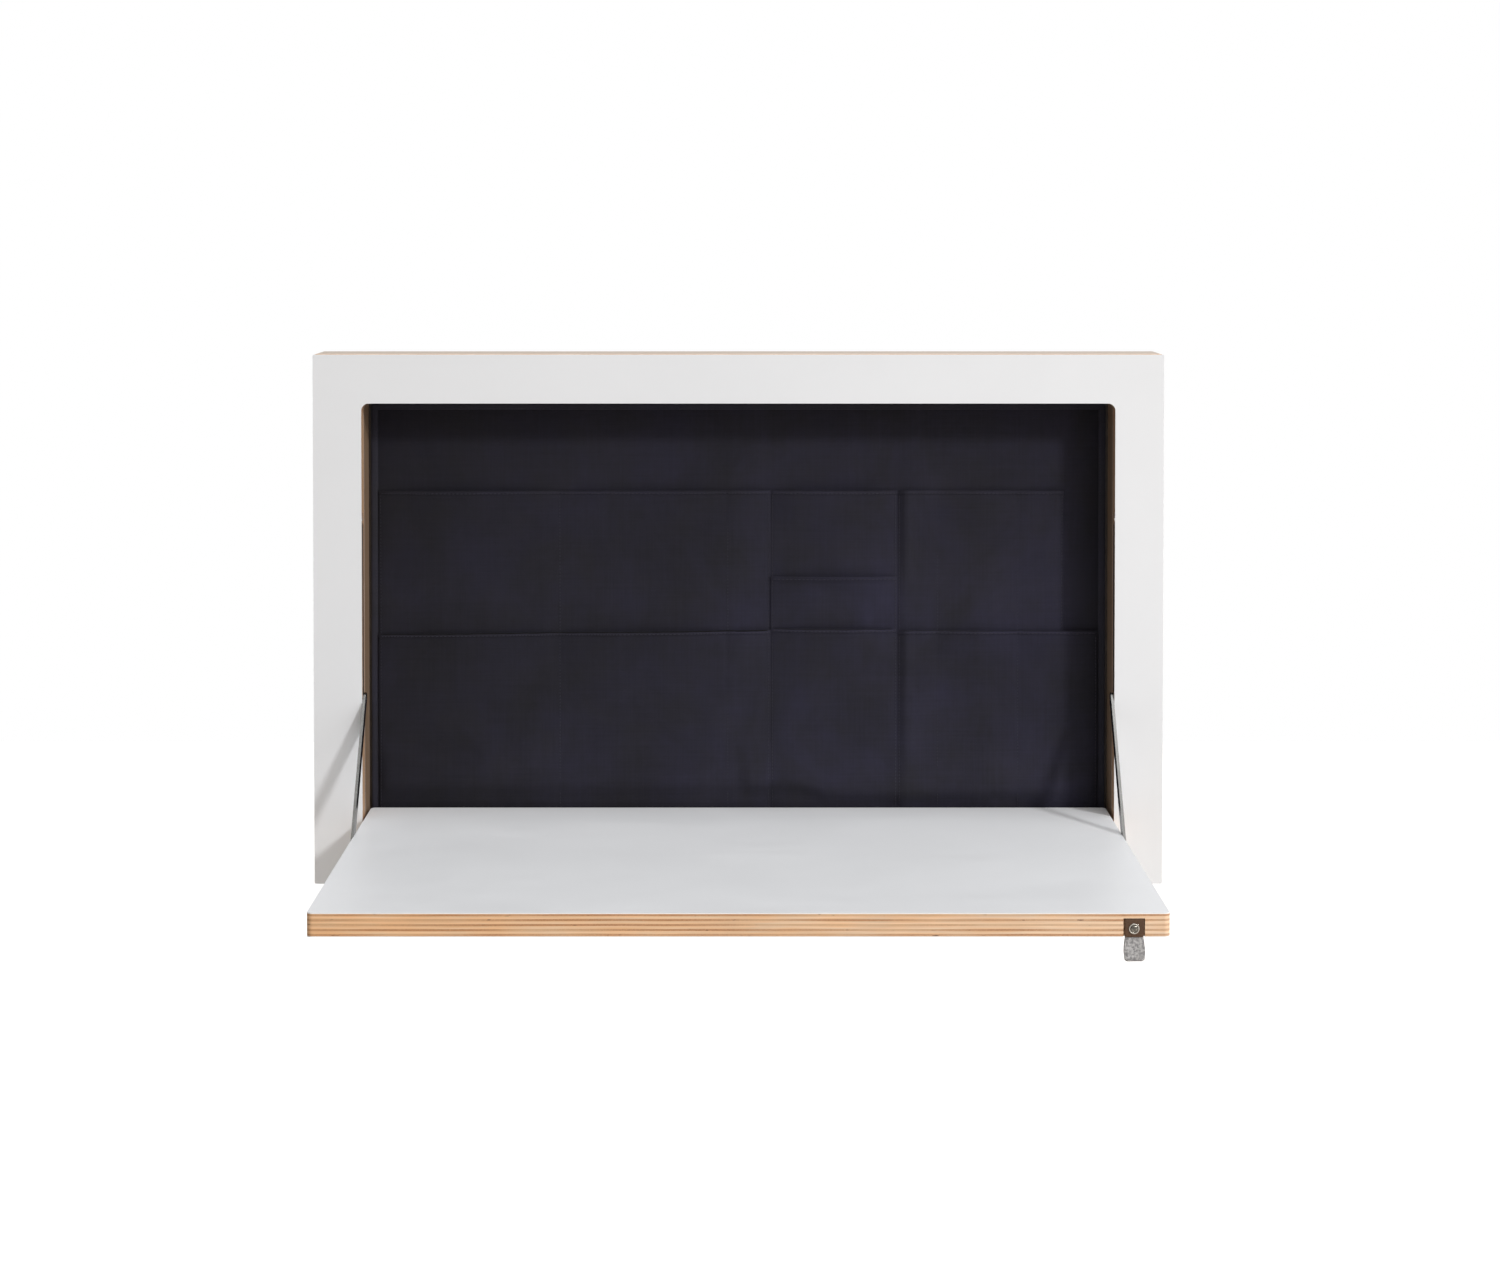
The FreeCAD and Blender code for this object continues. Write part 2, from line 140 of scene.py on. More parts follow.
class Tree:
    """Adds nodes to a node tree and links them in one line each."""

    def __init__(self, tree):
        self.nodes = tree.nodes
        self.links = tree.links

    def put(self, socket, value):
        """Links or sets a socket. One number fills a colour or a vector evenly."""
        if isinstance(value, bpy.types.NodeSocket):
            self.links.new(value, socket)
            return
        if socket.type in ("RGBA", "VECTOR") and isinstance(value, float):
            value = (value, value, value)
        socket.default_value = (*value, 1.0) if socket.type == "RGBA" else value

    def add(self, kind, values=(), **options):
        node = self.nodes.new(kind)
        for key, value in options.items():
            setattr(node, key, value)
        for key, value in dict(values).items():
            self.put(node.inputs[key], value)
        return node

    def math(self, operation, *values):
        return self.add("ShaderNodeMath", enumerate(values), operation=operation).outputs[0]

    def plus(self, first, *rest):
        for value in rest:
            first = self.math("ADD", first, value)
        return first

    def minus(self, a, b):
        return self.math("SUBTRACT", a, b)

    def times(self, a, b):
        return self.math("MULTIPLY", a, b)

    def sway(self, value, reach):
        """A mask from 0 to 1 spread evenly round 0."""
        return self.times(self.minus(value, 0.5), reach)

    def span(self, value, a, b, c=0.0, d=1.0, smooth=False):
        """c where value is a and d where it is b."""
        return self.add("ShaderNodeMapRange", {0: value, 1: a, 2: b, 3: c, 4: d},
                        interpolation_type="SMOOTHSTEP" if smooth else "LINEAR").outputs[0]

    def ridge(self, value, middle, inner, outer, gain=1.0):
        """gain up to inner away from the middle, and 0 from outer on."""
        off = self.math("ABSOLUTE", self.minus(value, middle))
        return self.span(off, inner, outer, gain, 0.0)

    def mix(self, factor, a, b, blend="MIX"):
        node = self.add("ShaderNodeMix", {0: factor, 6: a, 7: b}, data_type="RGBA", blend_type=blend)
        return node.outputs[2]

    def tint(self, base, by):
        return self.mix(1.0, base, by, "MULTIPLY")

    def vary(self, base, factor, low, high):
        """A colour tinted by low where factor is 0 and by high where it is 1."""
        return self.tint(base, self.mix(factor, low, high))

    def split(self, vector):
        return self.add("ShaderNodeSeparateXYZ", {0: vector}).outputs

    def scaled(self, vector, scale):
        return self.add("ShaderNodeVectorMath", {0: vector, 1: scale}, operation="MULTIPLY").outputs[0]

    def noise(self, vector, scale, detail=3.0, rough=0.55, distortion=0.0):
        """Noise with one scale, or with a scale for each axis."""
        if not isinstance(scale, float):
            vector = self.scaled(vector, scale)
            scale = 1.0
        node = self.add("ShaderNodeTexNoise", {"Vector": vector, "Scale": scale, "Detail": detail,
                                               "Roughness": rough, "Distortion": distortion})
        return node.outputs[0]

    def place(self, kind="Object"):
        """Where a point of the piece is or, with Normal, which way it faces."""
        node = self.nodes.get("Texture Coordinate") or self.add("ShaderNodeTexCoord")
        return node.outputs[kind]


def ply_edge(t, i):
    """Stacked plies seen on a cut edge: pale and dark bands, grain streaks, end-grain pores, knots."""
    place = i["Place"]
    wobble = t.sway(t.noise(place, 7.0, 2.0), 0.30)
    band = t.plus(t.times(i["Across"], i["Plies"]), 0.25, wobble)
    wave = t.math("ABSOLUTE", t.minus(t.math("FRACT", band), 0.5))
    dark = t.span(wave, 0.17, 0.24, 1.0, 0.0, smooth=True)
    glue = t.ridge(wave, 0.205, 0.0, 0.035)
    streak = t.noise(place, i["Streak"], 5.0, 0.65)
    pores = t.noise(place, 2600.0, 2.0, 0.7)
    pale = t.vary(i["Pale"], t.span(streak, 0.32, 0.72), (0.86, 0.80, 0.72), (1.07, 1.07, 1.06))
    cross_cut = t.vary(i["Dark"], t.span(pores, 0.40, 0.64), (0.70, 0.64, 0.58), (1.18, 1.17, 1.15))
    ply = t.add("ShaderNodeCombineXYZ", {0: t.times(t.split(place)[0], 6.0),
                                         2: t.times(t.math("FLOOR", band), 3.7)}).outputs[0]
    depth = t.span(t.noise(ply, 1.0, 2.0), 0.38, 0.62, 0.38, 1.12)
    each_ply = t.span(t.noise(ply, 2.7, 2.0), 0.38, 0.62)
    pale = t.vary(pale, each_ply, (1.03, 0.96, 0.88), (0.98, 1.02, 1.06))
    tone = t.mix(t.times(dark, depth), pale, cross_cut)
    tone = t.mix(t.times(glue, 0.30), tone, (0.30, 0.17, 0.09))
    blot = t.span(t.noise(place, 9.0, 3.0), 0.3, 0.7)
    tone = t.vary(tone, blot, (0.93, 0.91, 0.89), 1.05)
    knot = t.span(t.noise(place, (110.0, 110.0, 700.0), 1.0), 0.715, 0.745)
    knot = t.times(knot, t.span(dark, 0.3, 0.8))
    tone = t.mix(knot, tone, (0.10, 0.055, 0.03))
    height = t.minus(t.times(streak, 0.5), t.plus(t.times(dark, 0.35), knot))
    return tone, t.span(dark, 0.0, 1.0, 0.50, 0.62), height


def face_grain(t, i):
    """Rotary-cut birch face: long soft figure, fine pores and a few pale flames."""
    drawn = t.scaled(i["Place"], i["Stretch"])
    figure = t.span(t.noise(drawn, 0.55, 4.0, 0.6, 0.8), 0.34, 0.68)
    fine = t.noise(drawn, 9.0, 4.0, 0.7)
    tone = t.vary(i["Veneer"], figure, (0.84, 0.78, 0.70), (1.09, 1.09, 1.08))
    tone = t.mix(t.span(fine, 0.62, 0.78, 0.0, 0.35), tone, t.tint(i["Veneer"], (0.55, 0.47, 0.40)))
    return tone, t.span(fine, 0.3, 0.7, 0.42, 0.55), fine


def painted_shading(t, place):
    """Painted light and shade over the organiser: how much lighter or darker the cloth is drawn than its
    dye where light and shade fall on it.
    """
    x, _, z = t.split(place)
    # Painted shade darker to the left, at the lower left and by the right end in the window's shade; a
    # painted highlight low in the lower row on the hanging slack, slightly darker above it; painted
    # lighter bands across the middle and down two columns.
    to_the_left = t.span(x, -0.37, 0.20, -0.27, 0.10)
    left_foot = t.times(t.span(x, 0.10, -0.34), t.span(z, -0.08, -0.19, 0.0, -0.22))
    right_end = t.span(x, 0.315, 0.345, 0.0, -0.42)
    lower_row = t.times(t.span(z, -0.03, -0.14, -0.05, 0.13), t.span(z, -0.175, -0.160))
    middle_row = t.ridge(z, 0.012, 0.0, 0.045, 0.10)
    columns = [t.ridge(x, 0.0105, 0.014, 0.021, 0.09), t.ridge(x, -0.14, 0.015, 0.05, 0.07)]
    return t.plus(to_the_left, left_foot, right_end, lower_row, middle_row, *columns)


def plain_weave(t, i):
    """Plain weave: over and under yarns, slubs, a soft uneven dye, and painted light and shade over the
    organiser.
    """
    place = i["Place"]
    stray = t.add("ShaderNodeTexNoise", {"Vector": place, "Scale": 55.0, "Detail": 2.0}).outputs[1]
    bend = t.add("ShaderNodeVectorMath", {0: place, 1: t.scaled(stray, (0.0012, 0.0, 0.0012))},
                 operation="ADD").outputs[0]
    x, _, z = t.split(bend)
    turn = t.math("DIVIDE", math.pi, i["Yarn"])
    warp, weft = [t.math("SINE", t.times(v, turn)) for v in (x, z)]
    ribs = t.math("MAXIMUM", t.math("ABSOLUTE", warp), t.math("ABSOLUTE", weft))
    height = t.plus(t.times(ribs, 0.6), t.times(t.times(warp, weft), 0.4))
    slub = t.plus(t.noise(place, (18.0, 18.0, 700.0), 2.0), t.noise(place, (700.0, 18.0, 18.0), 2.0), -1.0)
    dye = t.noise(place, (11.0, 11.0, 8.8), 5.0, 0.62, 0.4)
    uneven = t.plus(t.times(t.minus(height, 0.6), 0.22), t.times(slub, 0.28), t.sway(dye, 1.7))
    tone = t.times(t.plus(t.times(i["Contrast"], uneven), 1.0),
                   t.plus(t.times(i["Fade"], painted_shading(t, place)), 1.0))
    # Bluer where the cloth is lighter, so the blue follows the painted light and shade as well as the dye.
    cool = t.plus(t.span(t.noise(place, 23.0, 4.0, 0.6), 0.35, 0.65, -0.07, 0.07),
                  t.span(tone, 0.7, 1.3, 0.94, 1.10))
    shade = t.add("ShaderNodeCombineColor", {0: tone, 1: t.times(tone, 0.985), 2: t.times(tone, cool)})
    return (t.tint(i["Dye"], shade.outputs[0]), t.span(dye, 0.2, 0.8, 0.82, 0.95),
            t.plus(height, t.times(slub, 0.5)))


def handled_surface(t, i):
    """Soft marks of use: faint smudges and a fine even tooth, for laminate and plastic."""
    place = i["Place"]
    smudge = t.noise(place, 6.0, 4.0, 0.6, 0.6)
    rub = t.noise(place, (9.0, 40.0, 40.0))
    marks = t.times(i["Marks"], t.plus(smudge, rub, -1.0))
    return (t.tint(i["Tint"], t.span(smudge, 0.3, 0.7, 0.985, 1.01)), t.plus(i["Gloss"], marks),
            t.noise(place, 1500.0, 2.0, 0.6))


def brushed_lines(t, i):
    """Fine scratches drawn out along one direction."""
    line = t.noise(i["Place"], i["Stretch"], 5.0, 0.7)
    cloud = t.noise(i["Place"], 60.0)
    rough = t.plus(i["Gloss"], t.sway(line, 0.25), t.sway(cloud, 0.18))
    return t.tint(i["Metal"], t.span(line, 0.25, 0.75, 0.84, 1.10)), rough, line


# Name of each group: the function that fills it and the inputs it has besides Place
EFFECTS = {
    "Ply Edge": (ply_edge, {"Across": "Float", "Plies": "Float", "Pale": "Color", "Dark": "Color",
                            "Streak": "Vector"}),
    "Face Grain": (face_grain, {"Stretch": "Vector", "Veneer": "Color"}),
    "Plain Weave": (plain_weave, {"Yarn": "Float", "Dye": "Color", "Contrast": "Float", "Fade": "Float"}),
    "Handled Surface": (handled_surface, {"Tint": "Color", "Gloss": "Float", "Marks": "Float"}),
    "Brushed Lines": (brushed_lines, {"Stretch": "Vector", "Metal": "Color", "Gloss": "Float"})}
RESULTS = {"Color": "Color", "Roughness": "Float", "Height": "Float"}


def shared(t, name, **values):
    """Colour, roughness and height from a shared node group, which is built the first time."""
    tree = bpy.data.node_groups.get(name)
    if not tree:
        fill, inputs = EFFECTS[name]
        tree = bpy.data.node_groups.new(name, "ShaderNodeTree")
        for way, sockets in (("INPUT", {"Place": "Vector", **inputs}), ("OUTPUT", RESULTS)):
            for label, kind in sockets.items():
                tree.interface.new_socket(label, in_out=way, socket_type="NodeSocket" + kind)
        inner = Tree(tree)
        results = fill(inner, inner.add("NodeGroupInput").outputs)
        inner.add("NodeGroupOutput", enumerate(results))
    return t.add("ShaderNodeGroup", {"Place": t.place(), **values}, node_tree=tree).outputs


def new_material(name):
    """A new material, its tree and the inputs of its shader."""
    material = bpy.data.materials.new(name)
    material.use_nodes = True
    t = Tree(material.node_tree)
    return material, t, t.nodes["Principled BSDF"].inputs


def surface(name, build, bump=0.0002, strength=0.4, **sockets):
    """A material: build(tree) gives colour, roughness and height, the rest sets the shader."""
    if name in bpy.data.materials:
        return bpy.data.materials[name]
    material, t, inputs = new_material(name)
    tone, rough, height = build(t)
    normal = t.add("ShaderNodeBump", {"Height": height, "Distance": bump, "Strength": strength})
    sockets.update(Base_Color=tone, Roughness=rough, Normal=normal.outputs[0])
    for key, value in sockets.items():
        t.put(inputs[key.replace("_", " ")], value)
    material.diffuse_color = (0.6, 0.6, 0.6, 1)
    return material


def laminate(name="White laminate", edge=None):
    """White laminate. edge is the colour of a painted highlight on its cut edges, for a board that lies
    flat.
    """
    timber = bpy.context.scene.desk_timber

    def build(t):
        tone, rough, height = shared(t, "Handled Surface", Tint=timber.laminate, Gloss=0.42, Marks=0.16)
        if edge is not None:
            # Upright faces, the cut edges of a flat board, get the painted highlight.
            upright = t.ridge(t.split(t.place("Normal"))[2], 0.0, 0.55, 0.75)
            tone = t.mix(upright, tone, edge)
        return tone, rough, height
    return surface(name, build, bump=0.00003, strength=0.25, Specular_IOR_Level=0.42)


def window_mask(t):
    """1 on the faces that line the window, 0 outside them."""
    _, _, middle, half = box("organiser_binding")
    near, far = 0.004, 0.006
    x, _, z = t.split(t.place())
    return t.times(t.ridge(x, middle.x, half.x + near, half.x + far),
                   t.ridge(z, middle.z, half.z + near, half.z + far))


def plywood(node, name, across, grain, plies, stain_and_shade=None, ends=None):
    """Plywood for a node, its plies stacked along one axis, 0 for X, 1 for Y, 2 for Z. The window colour
    darkens it inside the window, partly stained and partly painted shade of the recess; ends are its
    tints at the left and the right."""
    timber = bpy.context.scene.desk_timber
    low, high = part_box(node)

    def build(t):
        streak = [14.0, 14.0, 14.0]
        streak[across] = 1100.0
        place = t.split(t.place())
        normal = t.split(t.place("Normal"))
        edge = shared(t, "Ply Edge", Across=t.span(place[across], low[across], high[across]),
                      Plies=plies, Pale=timber.pale_ply, Dark=timber.dark_ply, Streak=streak)
        face = shared(t, "Face Grain", Stretch=grain, Veneer=timber.veneer)
        cut = t.ridge(normal[across], 0.0, 0.6, 0.75)
        tone = t.mix(cut, face["Color"], edge["Color"])
        if ends:
            tone = t.vary(tone, t.span(place[0], low.x, high.x), *ends)
        # Inside the window: darker, partly stained and partly painted shade of the recess.
        if stain_and_shade is not None:
            inside = t.times(window_mask(t), t.math("LESS_THAN", normal[1], 0.5))
            tone = t.vary(tone, inside, 1.0, stain_and_shade)
        return tone, *[t.span(cut, 0.0, 1.0, face[key], edge[key]) for key in ("Roughness", "Height")]
    dress(surface(name, build, bump=0.00012, strength=0.55, Specular_IOR_Level=0.4), node)


def canvas(name="Navy canvas", mouth=None):
    """Woven canvas. mouth is a pocket's two top corners and the depth of the shade along its turn."""
    cloth = bpy.context.scene.desk_cloth

    def build(t):
        # The full painted light and shade of the organiser goes on this canvas.
        woven, rough, height = shared(t, "Plain Weave", Yarn=cloth.yarn, Dye=cloth.canvas, Contrast=0.8,
                                      Fade=1.0)
        tone = woven
        if mouth:
            (x0, top0), (x1, top1), shade = mouth
            end = 0.004
            x, _, z = t.split(t.place())
            across = t.times(t.span(x, x0, x0 + end), t.span(x, x1, x1 - end))
            wobble = t.sway(t.noise(t.place(), 90.0, 2.0), 0.0012)
            down = t.minus(t.span(x, x0, x1, top0, top1), t.plus(z, wobble))
            lip = t.times(across, t.span(down, 0.0028, 0.0012, smooth=True))
            turn = t.times(across, t.span(down, 0.0013, 0.0008, 0.0, shade, smooth=True))
            glow = 1.0 + 0.42 * min(1.0, 3.0 * shade)
            tone = t.vary(tone, lip, 1.0, glow)
            tone = t.mix(turn, tone, t.tint(woven, 0.12))
        return tone, rough, height
    return surface(name, build, bump=0.00012, strength=0.45, Specular_IOR_Level=0.18,
                   Sheen_Weight=0.03, Sheen_Roughness=0.5, Sheen_Tint=(0.35, 0.34, 0.48))


def coated(name, effect, values, **look):
    """A material that shows one shared effect and nothing else."""
    return surface(name, lambda t: shared(t, effect, **values), **look)


def binding_tape():
    cloth = bpy.context.scene.desk_cloth
    weave = {"Yarn": cloth.yarn * 0.6, "Dye": cloth.tape, "Contrast": 0.6}
    return coated("Navy tape", "Plain Weave", weave, bump=0.00015, strength=0.5, Specular_IOR_Level=0.25,
                  Sheen_Weight=0.15, Sheen_Roughness=0.5, Sheen_Tint=(0.4, 0.4, 0.55))


def fastening_tape():
    cloth = bpy.context.scene.desk_cloth
    weave = {"Yarn": cloth.yarn * 2, "Dye": cloth.velour, "Contrast": 1.0}
    return coated("Fastening tape", "Plain Weave", weave, bump=0.0003, strength=0.6,
                  Specular_IOR_Level=0.25)


def thread():
    cloth = bpy.context.scene.desk_cloth

    def build(t):
        twist = t.noise(t.place(), 2500.0, 2.0)
        return t.vary(cloth.thread, twist, 1.0, 1.9), t.span(twist, 0.3, 0.7, 0.6, 0.8), twist
    return surface("Sewing thread", build, bump=0.0001, Specular_IOR_Level=0.35)


def felt():
    cloth = bpy.context.scene.desk_cloth

    def build(t):
        fibre = t.noise(t.place(), 1400.0, 5.0, 0.75, 1.5)
        clump = t.noise(t.place(), 420.0, 4.0, 0.65)
        pale = (1.57, 1.57, 1.555)
        tone = t.vary(cloth.felt, t.span(clump, 0.40, 0.60), (0.45, 0.45, 0.465), pale)
        tone = t.mix(t.span(fibre, 0.45, 0.60, 0.0, 0.5), tone, t.tint(cloth.felt, pale))
        return tone, t.span(fibre, 0.3, 0.7, 0.88, 0.98), t.plus(fibre, clump)
    return surface("Grey felt", build, bump=0.0005, strength=0.8, Specular_IOR_Level=0.15,
                   Sheen_Weight=0.35, Sheen_Roughness=0.6)


def leather():
    cloth = bpy.context.scene.desk_cloth

    def build(t):
        cells = t.add("ShaderNodeTexVoronoi", {"Vector": t.place(), "Scale": 1500.0},
                      feature="DISTANCE_TO_EDGE").outputs[0]
        crease = t.span(cells, 0.0, 0.22)
        cloud = t.noise(t.place(), 90.0)
        tone = t.vary(cloth.leather, cloud, (0.7, 0.66, 0.62), (1.3, 1.25, 1.2))
        tone = t.vary(tone, crease, (0.45, 0.42, 0.4), 1.0)
        return tone, t.span(cloud, 0.3, 0.7, 0.48, 0.62), crease
    return surface("Dark leather", build, bump=0.00012, strength=0.5, Specular_IOR_Level=0.25)


def metal(name, tint, gloss, stretch, scratch=0.00002):
    """Bare metal, its scratches scaled by one number or by a number for each axis."""
    return coated(name, "Brushed Lines", {"Stretch": stretch, "Metal": tint, "Gloss": gloss},
                  bump=scratch, Metallic=1.0)


def bright_zinc():
    return metal("Bright zinc", bpy.context.scene.desk_metal.zinc, 0.28, 900.0)


def acetal():
    black = {"Tint": (0.03, 0.03, 0.032), "Gloss": 0.42, "Marks": 0.2}
    return coated("Black acetal", "Handled Surface", black, bump=0.00003, strength=0.3)


def pressed_board():
    def build(t):
        fibre = t.noise(t.place(), (260.0, 260.0, 900.0), 5.0, 0.7)
        tone = t.mix(t.span(fibre, 0.3, 0.7), (0.045, 0.045, 0.05), (0.10, 0.10, 0.11))
        return tone, t.span(fibre, 0.3, 0.7, 0.75, 0.9), fibre
    return surface("Pressed board", build, bump=0.0001)


def beech():
    grain = {"Stretch": (300.0, 300.0, 12.0), "Veneer": bpy.context.scene.desk_timber.veneer}
    return coated("Beech dowel", "Face Grain", grain, bump=0.0001)


# ---- pieces and meshes

# The way the cloth and the pull tab face
OUTWARD = Vector((0, -1, 0))


def spoken(node):
    return node.replace("_", " ").capitalize()


def box(node):
    """The corners of a node's box, its middle and half its size."""
    low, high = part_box(node)
    return low, high, (low + high) / 2, (high - low) / 2


def dress(material, *names):
    """Puts a finish on carried-over nodes."""
    for name in names:
        mesh = NODES[name].data
        mesh.materials.clear()
        mesh.materials.append(material)


def done(*made):
    """Ends a step, or stops it when something it should have made is empty."""
    if not all(made):
        raise RuntimeError("nothing was made")
    return {"FINISHED"}


def new_object(name, data):
    obj = bpy.data.objects.new(name, data)
    bpy.context.scene.collection.objects.link(obj)
    return obj


def finish_piece(name, bm, body, material, node=None, angle=35.0):
    """Makes bm a piece that rides on a body, in the place of a carried-over node if one is named."""
    mesh = bpy.data.meshes.new(name)
    bmesh.ops.recalc_face_normals(bm, faces=bm.faces)
    bm.to_mesh(mesh)
    bm.free()
    mesh.materials.append(material)
    mesh.shade_smooth()
    mesh.set_sharp_from_angle(angle=math.radians(angle))
    piece = new_object(name, mesh)
    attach(piece, body)
    if node:
        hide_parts(node)
    return piece


def clamp(value):
    return min(1.0, max(0.0, value))


def spread(a, b, count):
    """Evenly spaced values from a to b, with count steps between them."""
    return [a + (b - a) * i / count for i in range(count + 1)]


def swell(value, centre, width, height):
    """A soft bump of this height at the centre."""
    return height * math.exp(-((value - centre) / width) ** 2)


def ripple(x, z, size, seed):
    return noise.noise(Vector((x / size + seed, z / size, seed * 0.7)))


def bridge(bm, rings):
    """Faces between neighbouring rings of vertices. A ring of one vertex is a tip."""
    for a, b in pairwise(rings):
        count = max(len(a), len(b))
        for k in range(count):
            j = (k + 1) % count
            if len(a) == 1:
                bm.faces.new((a[0], b[j], b[k]))
            elif len(b) == 1:
                bm.faces.new((a[k], a[j], b[0]))
            else:
                bm.faces.new((a[k], a[j], b[j], b[k]))


def tube(bm, rings):
    """Rings joined to a solid with a flat face at each end."""
    bridge(bm, rings)
    bm.faces.new(rings[0][::-1])
    bm.faces.new(rings[-1])


def shell(bm, front, back):
    """Two grids of vertices closed to a thin sheet."""
    for f, g, b, c in zip(front, front[1:], back, back[1:]):
        for i in range(len(f) - 1):
            bm.faces.new((f[i], f[i + 1], g[i + 1], g[i]))
            bm.faces.new((c[i], c[i + 1], b[i + 1], b[i]))
        bm.faces.new((g[0], c[0], b[0], f[0]))
        bm.faces.new((f[-1], b[-1], c[-1], g[-1]))
    for f, b in ((front[-1], back[-1]), (back[0], front[0])):
        for i in range(len(f) - 1):
            bm.faces.new((f[i], f[i + 1], b[i + 1], b[i]))


def circle(bm, centre, u, v, radius, steps):
    """A ring of vertices in the plane of u and v. radius is a number or a function of the angle."""
    reach = radius if callable(radius) else lambda a: radius
    return [bm.verts.new(centre + (u * math.cos(a) + v * math.sin(a)) * reach(a))
            for a in [math.tau * k / steps for k in range(steps)]]


def rounded(middle, half_wide, half_tall, radius, steps):
    """Round corners of a rectangle: a corner's centre and the way out from it, for each step."""
    for side, up, start in ((1, 1, 0), (-1, 1, 90), (-1, -1, 180), (1, -1, 270)):
        centre = Vector((middle.x + side * (half_wide - radius), 0, middle.z + up * (half_tall - radius)))
        for degrees in spread(start, start + 90, steps):
            a = math.radians(degrees)
            yield centre, Vector((math.cos(a), 0, math.sin(a)))


def cloth_plate(x0, x1, z0, z1, y, thick, columns, rows, relief, hem=0.0, rise=lambda x: 0.0):
    """A closed thin sheet facing -Y. relief(x, z) lifts its face, a hem doubles its top edge, and
    rise(x) draws that edge up."""
    hem_step, hem_depth, soft_edge, soft_side = 0.0004, 0.0005, 0.0004, 0.0002
    bm = bmesh.new()
    xs = spread(x0, x1, columns)
    zs = spread(z0, z1, rows)
    if hem:
        zs = sorted(zs + [z1 - hem - hem_step, z1 - hem + hem_step])
    front, back = [], []
    for z in zs:
        turned = hem_depth if hem and z > z1 - hem else 0.0
        row_front, row_back = [], []
        for x in xs:
            lift = relief(x, z)
            soft = soft_edge if z in (zs[0], zs[-1]) else soft_side if x in (xs[0], xs[-1]) else 0.0
            up = z + rise(x) * ((z - z0) / (z1 - z0)) ** 2
            row_front.append(bm.verts.new((x, y - lift - turned + soft, up)))
            row_back.append(bm.verts.new((x, y + thick - lift * 0.9, up)))
        front.append(row_front)
        back.append(row_back)
    shell(bm, front, back)
    return bm


def sew(bm, points, pitch):
    """Short raised stitches along a line of points."""
    radius, filled = 0.00022, 0.72
    for start, end in pairwise(points):
        start, run = Vector(start), Vector(end) - Vector(start)
        count = max(1, int(run.length / pitch))
        along = run.normalized()
        side = along.cross(OUTWARD).normalized()
        half = run.length / count * filled / 2
        for i in range(count):
            mid = start + along * (i + 0.5) * run.length / count
            rings = []
            for at, girth, lift in ((-1.0, 0.35, -0.6), (-0.55, 0.95, 0.35), (0.55, 0.95, 0.35),
                                    (1.0, 0.35, -0.6)):
                centre = mid + along * half * at + OUTWARD * radius * lift
                rings.append(circle(bm, centre, side, OUTWARD, radius * girth, 6))
            tube(bm, rings)


def hexagon(inner):
    """Radius of a hexagon of this inner radius at each angle, for a lathe's ring."""
    sixth = math.tau / 6
    return lambda a: inner / math.cos((a + sixth / 2) % sixth - sixth / 2)


def cross(reach):
    """Radius of a cross recess of this reach at each angle, for a lathe's ring."""
    def radius(a):
        off = (a + math.pi / 4) % (math.pi / 2) - math.pi / 4
        return min(reach / math.cos(off), reach * 0.24 / max(0.01, abs(math.sin(off))))
    return radius


def lathe(bm, profile, centre, axis, steps):
    """Turns (distance along axis, radius or radius by angle) points round an axis."""
    axis = Vector(axis)
    u = axis.orthogonal().normalized()
    rings = []
    for along, radius in profile:
        at = Vector(centre) + axis * along
        rings.append([bm.verts.new(at)] if radius == 0 else
                     circle(bm, at, u, axis.cross(u), radius, steps))
    bridge(bm, rings)


# ---- case

class DESK_OT_case(bpy.types.Operator):
    """Finish the front board, the rails and stiles behind it and the back panel"""
    bl_idname = "desk.case"
    bl_label = "Case"

    def execute(self, context):
        timber = context.scene.desk_timber
        ply_pair = 0.0033
        dress(laminate(), "front_laminate", "rear_laminate")
        # Inside the window the front board's edge, rails and stiles are darkened: partly stained, partly
        # painted shade of the recess.
        plywood("front_frame", "Front board ply", 1, (70.0, 70.0, 3.0), timber.plies, timber.rim)
        rail, stile = (2.6, 60.0, 60.0), (60.0, 60.0, 2.6)
        for node, across, grain in (("top_rail", 2, rail), ("bottom_rail", 2, rail),
                                    ("left_stile", 0, stile), ("right_stile", 0, stile)):
            half = box(node)[3][across]
            pairs = max(5.5, round(2 * half / ply_pair) + 0.5)
            plywood(node, spoken(node) + " ply", across, grain, pairs, timber.stain_and_shade)
        # The back panel's face inside the window gets painted shade.
        plywood("back_panel", "Back panel ply", 1, (2.6, 60.0, 45.0), 4.5, timber.shadow)
        dress(beech(), "corner_dowels")
        return done(*(NODES[n].data.materials for n in ("front_frame", "back_panel")))


class DESK_OT_back_screws(bpy.types.Operator):
    """Countersunk screws that hold the back panel in its step"""
    bl_idname = "desk.back_screws"
    bl_label = "Back Screws"

    def execute(self, context):
        sizes = context.scene.desk_metal
        low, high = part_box("back_panel")
        inset, proud, floor, rail_x = 0.006, 0.00012, 0.00002, 0.12
        r = sizes.head / 2
        ends = low.z + inset, high.z - inset
        places = [(x, z) for x in (low.x + inset, high.x - inset)
                  for z in spread(*ends, sizes.head_rows - 1)]
        places += [(x, z) for x in (-rail_x, rail_x) for z in ends]
        profile = [(-0.0016, r * 0.45), (0.0, r), (proud, r * 0.96), (proud, cross(r * 0.55)),
                   (floor, cross(r * 0.50)), (floor, 0.0)]
        bm = bmesh.new()
        for x, z in places:
            lathe(bm, profile, (x, high.y, z), (0, 1, 0), 24)
        piece = finish_piece("panel_screw_heads", bm, "frame", bright_zinc())
        return done(piece.data.polygons)


# ---- organiser

